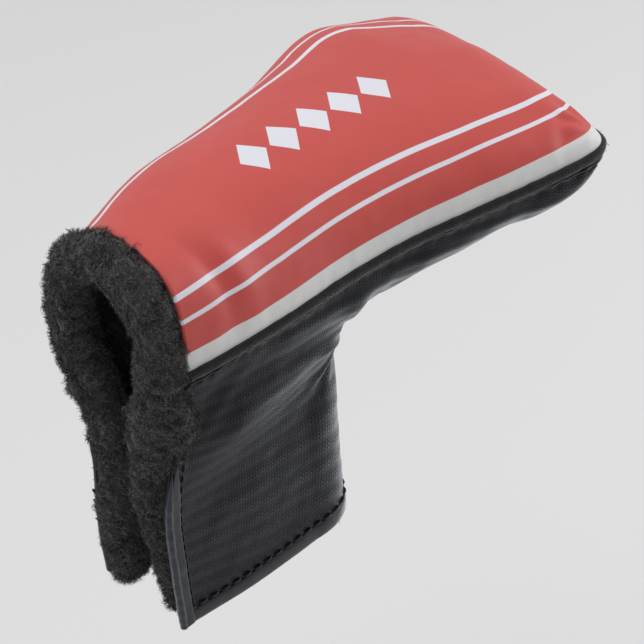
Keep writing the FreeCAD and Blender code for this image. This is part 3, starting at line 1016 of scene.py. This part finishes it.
def twill_leather():
    """Dark skin embossed with columns of short slanted ticks in bands that change their slant."""
    n = Nodes("twill_leather")
    u, v, _ = n.split(n.place("cloth").outputs["Vector"])
    drift = n.times(n.minus(n.noise(60.0, 2.0), 0.5), 0.5)
    u = n.plus(u, drift)
    column = n.over(u, TWILL_COLUMN)
    index = n.math("FLOOR", column)
    inside = n.math("FRACT", column)
    odd = n.times(n.minus(n.math("MODULO", n.plus(index, 400.0), 2.0), 0.5), 2.0)
    band_height = n.plus(n.over(v, TWILL_BAND), n.times(index, 0.03))
    band = n.math("SINE", n.times(band_height, 2 * math.pi))
    slant = n.times(n.minus(inside, 0.5), n.times(odd, 0.62))
    tick = n.math("SINE", n.times(n.plus(n.over(v, TWILL_TICK), slant), 2 * math.pi))
    tick = n.ramp(tick, -0.5, 0.7)
    round_column = n.math("SINE", n.times(inside, math.pi))
    strength = n.plus(0.62, n.times(band, 0.38))
    height = n.times(n.times(tick, round_column), strength)
    height = n.plus(height, n.times(n.noise(2600.0, 2.0), 0.18))
    normal = n.bump(height, 0.6, 0.15)
    normal = n.bump(n.plus(band, n.times(n.noise(70.0, 2.0), 1.2)), 0.24, 0.20, normal)
    # Painted shade and painted highlight: the grooves between the ticks are coloured darker and the raised
    # ticks lighter, following their height.
    depth = n.math("MULTIPLY", height, 0.7, clamp=True)
    color = n.mix(depth, srgb(4, 5, 9), srgb(18, 22, 33))
    color = n.mix(n.times(n.noise(45.0, 2.0), 0.3), color, srgb(11, 14, 21))
    rough = n.plus(0.41, n.times(depth, -0.07))
    rough = n.plus(rough, n.times(band, 0.03))
    return n.finish(
        color, rough, normal, Specular_IOR_Level=0.14, Sheen_Weight=0.03, Sheen_Roughness=0.34,
        Sheen_Tint=(0.82, 0.88, 1.0, 1.0))


def smooth_leather(name, dark, light, rough):
    n = Nodes(name)
    color = n.mix(n.noise(300.0, 4.0), dark, light)
    grain = n.plus(n.cells(2300.0, "DISTANCE_TO_EDGE"), n.noise(900.0, 3.0))
    normal = n.bump(grain, 0.45, 0.12)
    normal = n.bump(n.noise(190.0, 2.0), 0.4, 0.4, normal)
    finish = n.plus(rough, n.times(n.noise(400.0, 3.0), 0.14))
    return n.finish(color, finish, normal, Specular_IOR_Level=0.26)


def suede(name, dark, light):
    n = Nodes(name)
    color = n.mix(n.noise(1500.0, 4.0, 0.7), dark, light)
    normal = n.bump(n.noise(2200.0, 4.0, 0.75), 0.9, 0.25)
    return n.finish(color, 0.92, normal, Sheen_Weight=0.35, Sheen_Roughness=0.45, Specular_IOR_Level=0.2)


def fleece_base():
    n = Nodes("fleece_base")
    lumps = n.plus(n.cells(420.0), n.noise(900.0, 4.0, 0.7))
    # Painted shade: the base is coloured darker in the dips between its lumps, the same lumps that the bump
    # follows.
    color = n.mix(n.ramp(lumps, 0.35, 1.1), srgb(15, 15, 16), srgb(50, 48, 48))
    normal = n.bump(lumps, 1.0, 0.9)
    return n.finish(color, 0.96, normal, Sheen_Weight=0.25, Sheen_Roughness=0.6, Specular_IOR_Level=0.15)


def fleece_pile():
    n = Nodes("fleece_pile")
    tip = n.place("tip").outputs["Fac"]
    tuft = n.place("tuft").outputs["Fac"]
    patch = n.ramp(n.noise(330.0, 3.0, 0.6), 0.38, 0.62)
    dark = n.mix(patch, srgb(17, 16, 17), srgb(44, 42, 41))
    light = n.mix(tuft, n.mix(patch, srgb(44, 42, 42), srgb(68, 66, 65)), srgb(112, 109, 107))
    # Painted shade: each tuft is coloured darker at its root, deep in the pile, and lighter towards its
    # tip.
    color = n.mix(n.times(n.ramp(tip, 0.1, 1.0), 0.85), dark, light)
    return n.finish(color, 0.9, None, Specular_IOR_Level=0.2, Sheen_Weight=0.2, Sheen_Roughness=0.5)


def thread(name, dark, light):
    n = Nodes(name)
    twist = n.noise(3000.0, 2.0)
    # Painted shade: the thread is coloured darker where its twist dips, following the same noise as the
    # bump.
    return n.finish(n.mix(twist, dark, light), 0.62, n.bump(twist, 0.6, 0.08), Specular_IOR_Level=0.4)


def pouch_cloth():
    n = Nodes("pouch_cloth")
    wave = n.math("SINE", n.times(n.split(n.object_place())[2], 9000.0))
    # Painted shade: the cloth is coloured darker in the troughs of its ribs, where the bump sinks.
    color = n.mix(n.ramp(wave, -1, 1), srgb(28, 28, 30), srgb(50, 50, 54))
    return n.finish(color, 0.85, n.bump(wave, 0.5, 0.1))


def nickel():
    n = Nodes("nickel")
    color = n.mix(n.noise(500.0), srgb(180, 181, 184), srgb(205, 206, 208))
    return n.finish(color, n.plus(0.22, n.times(n.noise(900.0), 0.1)), Metallic=1.0)


def floor_paint():
    n = Nodes("floor_paint")
    paint = n.mix(n.noise(3.0), (0.74, 0.74, 0.74, 1), (0.76, 0.76, 0.76, 1))
    return n.finish(paint, 0.9, None, Specular_IOR_Level=0.1)


def wear(obj, material):
    obj.data.materials.clear()
    obj.data.materials.append(material)


# ---------- putting it together ----------

def across_bend(obj):
    """Bakes a piece's placement into its mesh."""
    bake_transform(obj)


def dress(obj, look, replaced=(), side=0):
    """Gives a piece its look, and hides the model's parts that it replaces. It rides on the body, or has
    its placement baked into its mesh.
    """
    wear(obj, look)
    if side:
        across_bend(obj)
    else:
        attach(obj, "body")
    if replaced:
        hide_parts(*replaced)


def build():
    looks = {
        "top": printed_leather(),
        "side": twill_leather(),
        "trim": smooth_leather("smooth_trim", srgb(11, 13, 18), srgb(22, 26, 33), 0.24),
        # The fold's lighter blue-grey colour is a painted sheen along the folded edge; its low roughness is
        # its real gloss.
        "gloss_and_painted_sheen": smooth_leather("glossy_fold_painted_sheen", srgb(14, 17, 24), srgb(46, 54, 70), 0.14),
        "piping": suede("piping_suede", srgb(12, 12, 13), srgb(34, 34, 36)),
        "base": fleece_base(),
        "hair": fleece_pile(),
        "thread": thread("black_thread", srgb(4, 4, 5), srgb(30, 31, 34)),
    }
    cover, pad = build_top()
    dress(cover, looks["top"], ("top_panel",))
    dress(pad, pouch_cloth(), ("top_foam",))

    sides, tree = build_sides()
    for obj, (side, name) in zip(sides, SIDES):
        flat_pattern(obj)
        thicken(obj, SKIN)
        dress(obj, looks["side"], (name + "_side_panel", name + "_flap_panel"), side)

    top_fleece, *side_fleece = build_linings()
    inner_pile(top_fleece, side_fleece, looks["hair"])
    thicken(top_fleece, FLEECE)
    dress(top_fleece, looks["base"], ("top_lining",))
    for obj, (side, name) in zip(side_fleece, SIDES):
        thicken(obj, FLEECE)
        dress(obj, looks["base"], (name + "_side_lining", name + "_flap_lining"), side)

    for side, name in SIDES:
        lip, grid, out = build_lip(side, "MouthLip." + name)
        dress(lip, looks["base"], (name + "_flap_lip", "mouth_collar"), side)
        tufts = roll_pile("MouthPile." + name, grid, out, MOUTH_TUFTS, length=1.7, width=0.15)
        dress(tufts, looks["hair"], side=side)

    build_welt(tree, looks)
    build_seam(tree, looks)
    for side, name in SIDES:
        build_flap_trim(tree, looks, side, name)
    for name, look in (("magnet_pouch", pouch_cloth()), ("magnets", nickel())):
        for side in ("near_", "far_"):
            wear(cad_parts[side + name], look)


def near_mouth(centres, normals):
    """How much of the fleece at each place shows through the mouth or under the hem."""
    heelward = (centres[:, 0] < 12) * np.clip(1.3 - (centres[:, 0] + 40) / 55, 0.05, 1)
    return heelward * (normals[:, 2] > -0.5) * ((centres[:, 2] > 3.0) | (normals[:, 2] > -0.2))


def inner_pile(top_fleece, side_fleece, hair):
    rows = [(top_fleece, 0, "top", TOP_LINING_TUFTS)]
    rows += [(obj, side, name, LINING_TUFTS) for obj, (side, name) in zip(side_fleece, SIDES)]
    for obj, side, name, count in rows:
        tufts = surface_pile("LiningPile." + name, obj, count, 2.0, 0.24, near_mouth)
        dress(tufts, hair, side=side)


def build_welt(tree, looks):
    """The welt piping with its fuzz, the fold under it and its stitches."""
    line = welt_line()
    out = outward(line)
    down = np.array(WELT_NORMAL)
    line = line + out * 0.15 - down * 0.2
    wobble = 0.10 * np.stack([bumps(line, 3.0, 21), bumps(line, 3.0, 22)], -1)
    profile = oval(2.5, 2.2, 16, 2.5)[None] * (1 + wobble[:, :1, None])
    piping = sweep("WeltPiping", line, out, profile)
    dress(piping, looks["piping"], ("welt_piping",))
    fuzz = line_fuzz("WeltFuzz", line + out * 0.9, out, WELT_TUFTS, length=0.55, width=0.09)
    dress(fuzz, looks["hair"])
    under, normal = on_skin(tree, line - down * 2.1, 0.18)
    fold = sweep("WeltFold", under, normal, oval(1.0, 1.0, 12, 2.0))
    dress(fold, looks["trim"])
    under, normal = on_skin(tree, line - down * 3.3)
    sewn = stitches("WeltStitches", under, normal, step=3.1, length=2.3, thickness=0.5, slant=0.15)
    dress(sewn, looks["thread"])


def build_seam(tree, looks):
    """The centre seam under the belly and down the front of the neck."""
    seam, _ = on_skin(tree, centre_line(), 0.1)
    seam, normal = on_skin(tree, even_run(relax(seam, links(len(seam)), 60, 0.5), 0.6), 0.1)
    normal = relax(normal, links(len(seam)), 12, 0.5)
    strip = sweep("CentreSeam", seam, normal, oval(2.0, 0.9, 12, 2.4))
    dress(strip, looks["trim"], ("centre_seam_binding",))


def tapered(path, top):
    """The share of a strip's section at each point of a path that runs up to top."""
    return np.clip((top - path[:, 2]) / 12, 0.05, 1)[:, None, None]


def build_flap_trim(tree, looks, side, name):
    def strip(kind, line, lift, look, profile, replaced=()):
        path, normal = on_skin(tree, line, lift)
        if callable(profile):
            profile = profile(path)
        piece = sweep(kind + "." + name, path, normal, profile)
        dress(piece, looks[look], replaced, side)

    def sewing(kind, line, lift, step, length, thickness):
        path, normal = on_skin(tree, line, lift)
        piece = stitches(kind + "." + name, path, normal, step, length, thickness)
        dress(piece, looks["thread"], side=side)

    def roll_profile(path):
        pucker = 1 + 0.13 * bumps(path, 2.6, 31)[:, None, None]
        return oval(1.9, 1.8, 14, 2.0)[None] * tapered(path, 55) * pucker

    # Hem band with its topstitching
    nodes = (name + "_hem_band", name + "_flap_hem_band")
    strip("HemBand", neck_line(2.4, 0.02, 1.0, side), -0.1, "trim", oval(4.6, 1.3, 20, 2.9), nodes)
    sewing("HemStitches", neck_line(5.2, 0.05, 1.0, side), 0.12, 3.4, 2.6, 0.6)
    # Strip down the heel edge of the flap, with its outer roll and its stitches
    nodes = (name + "_flap_edge_binding",)
    strip(
        "EdgeBinding", edge_line(side, 1.5, 0.4, 57.0), 0.1, "trim",
        lambda path: edge_profile()[None] * tapered(path, 57), nodes)
    inset = 0.35 if side < 0 else 1.3
    # The outer roll wears the fold leather, whose lighter colour is a painted sheen.
    strip("EdgeRoll", edge_line(side, inset, 0.4, 55.0), 0.1, "gloss_and_painted_sheen", roll_profile)
    sewing("EdgeStitches", edge_line(side, 3.9, 4.0, 60.0), 0.05, 3.3, 2.4, 0.45)
    # Fleece that peeps out under the hem
    path = neck_line(0.4, 0.1, 1.0, side) * np.array([0.94, 0.86, 1.0])
    down = np.tile([0.0, 0.0, -1.0], (len(path), 1))
    fuzz = line_fuzz("HemFuzz." + name, path, down, HEM_TUFTS, length=1.5, width=0.16)
    dress(fuzz, looks["hair"], side=side)


def edge_profile():
    """The strip's section: flat on the skin, with a fat folded outer edge."""
    shape = oval(3.6, 1.1, 20, 3.2)
    fat = np.clip(np.abs(shape[:, 0]) / 1.8, 0, 1) ** 3
    return np.c_[shape[:, 0], shape[:, 1] * (1 + 0.35 * fat) + 0.1]


def line_fuzz(name, line, normals, count, length, width):
    """Tufts scattered along a line."""
    at = rng.uniform(0, len(line) - 1.001, count)
    i, f = at.astype(int), (at % 1)[:, None]
    roots = line[i] * (1 - f) + line[i + 1] * f + rng.normal(0, 0.35, (count, 3))
    return pile(name, roots, normals[i], length, width, 0.5)


def centre_line():
    """The middle of the skin, from the hem up the front of the neck and under the belly."""
    points = [(table_at(NECK, z)[0][6], 0.0, z) for z in np.linspace(5.0, 50.0, 60)]
    for x in np.linspace(27.0, 76.6, 80):
        section = head_section(x, np.array([-math.pi / 2]), 0.0)[0]
        points.append((x, 0.0, section[2]))
    return even_run(points, 0.6)


def area_light(name, place, target, size, power, color=(1, 1, 1)):
    data = bpy.data.lights.new(name, "AREA")
    data.shape = "RECTANGLE"
    data.size, data.size_y = size
    data.energy = power
    data.color = color
    light = link(name, data)
    light.location = place
    light.rotation_mode = "QUATERNION"
    light.rotation_quaternion = (Vector(target) - Vector(place)).to_track_quat("-Z", "Y")
    light.visible_camera = False


def studio():
    azimuth, elevation = math.radians(-42), math.radians(38)
    level = math.cos(elevation)
    back = Vector((math.sin(azimuth) * level, -math.cos(azimuth) * level, math.sin(elevation)))
    target = Vector((0.023, 0, 0.048))
    camera = link("camera", bpy.data.cameras.new("camera"))
    camera.data.lens, camera.data.sensor_width = 211, 36
    camera.data.clip_start = 0.01
    camera.location = target + back * 0.85
    camera.rotation_mode = "QUATERNION"
    camera.rotation_quaternion = (-back).to_track_quat("-Z", "Y")
    bpy.context.scene.camera = camera

    world = bpy.data.worlds.new("studio")
    bpy.context.scene.world = world
    world.use_nodes = True
    nodes, wires = world.node_tree.nodes, world.node_tree.links
    way = nodes.new("ShaderNodeTexCoord").outputs["Generated"]
    split = nodes.new("ShaderNodeSeparateXYZ")
    share = nodes.new("ShaderNodeMapRange")
    share.interpolation_type = "SMOOTHSTEP"
    wires.new(way, split.inputs[0])
    wires.new(split.outputs[1], share.inputs[0])
    for value, socket in zip((-0.8, 0.1, 0.22, 0.64), list(share.inputs)[1:5]):
        socket.default_value = value
    wires.new(share.outputs[0], nodes["Background"].inputs[1])
    nodes["Background"].inputs[0].default_value = (0.94, 0.94, 0.95, 1)
    centre = (0.02, 0, 0.06)
    area_light("softbox_top", (-0.34, 0.26, 0.88), centre, (0.9, 0.9), 5.2)
    area_light("softbox_front", (0.85, -0.35, 0.20), centre, (0.5, 0.8), 5.5)
    area_light("softbox_left", (-0.75, -0.45, 0.45), centre, (0.5, 0.5), 0.6)
    area_light("softbox_low", (0.25, 0.11, -0.14), (0.25, 0.11, 1.0), (0.24, 0.24), 0.27, (0.88, 0.93, 1.0))

    ends = ((-1, -1), (1, -1), (1, 1), (-1, 1))
    floor = make("Floor", [(x * FLOOR_HALF, y * FLOOR_HALF, FLOOR_Z) for x, y in ends], [(0, 1, 2, 3)])
    wear(floor, floor_paint())
    bpy.context.scene.view_settings.view_transform = "Standard"


build()
studio()
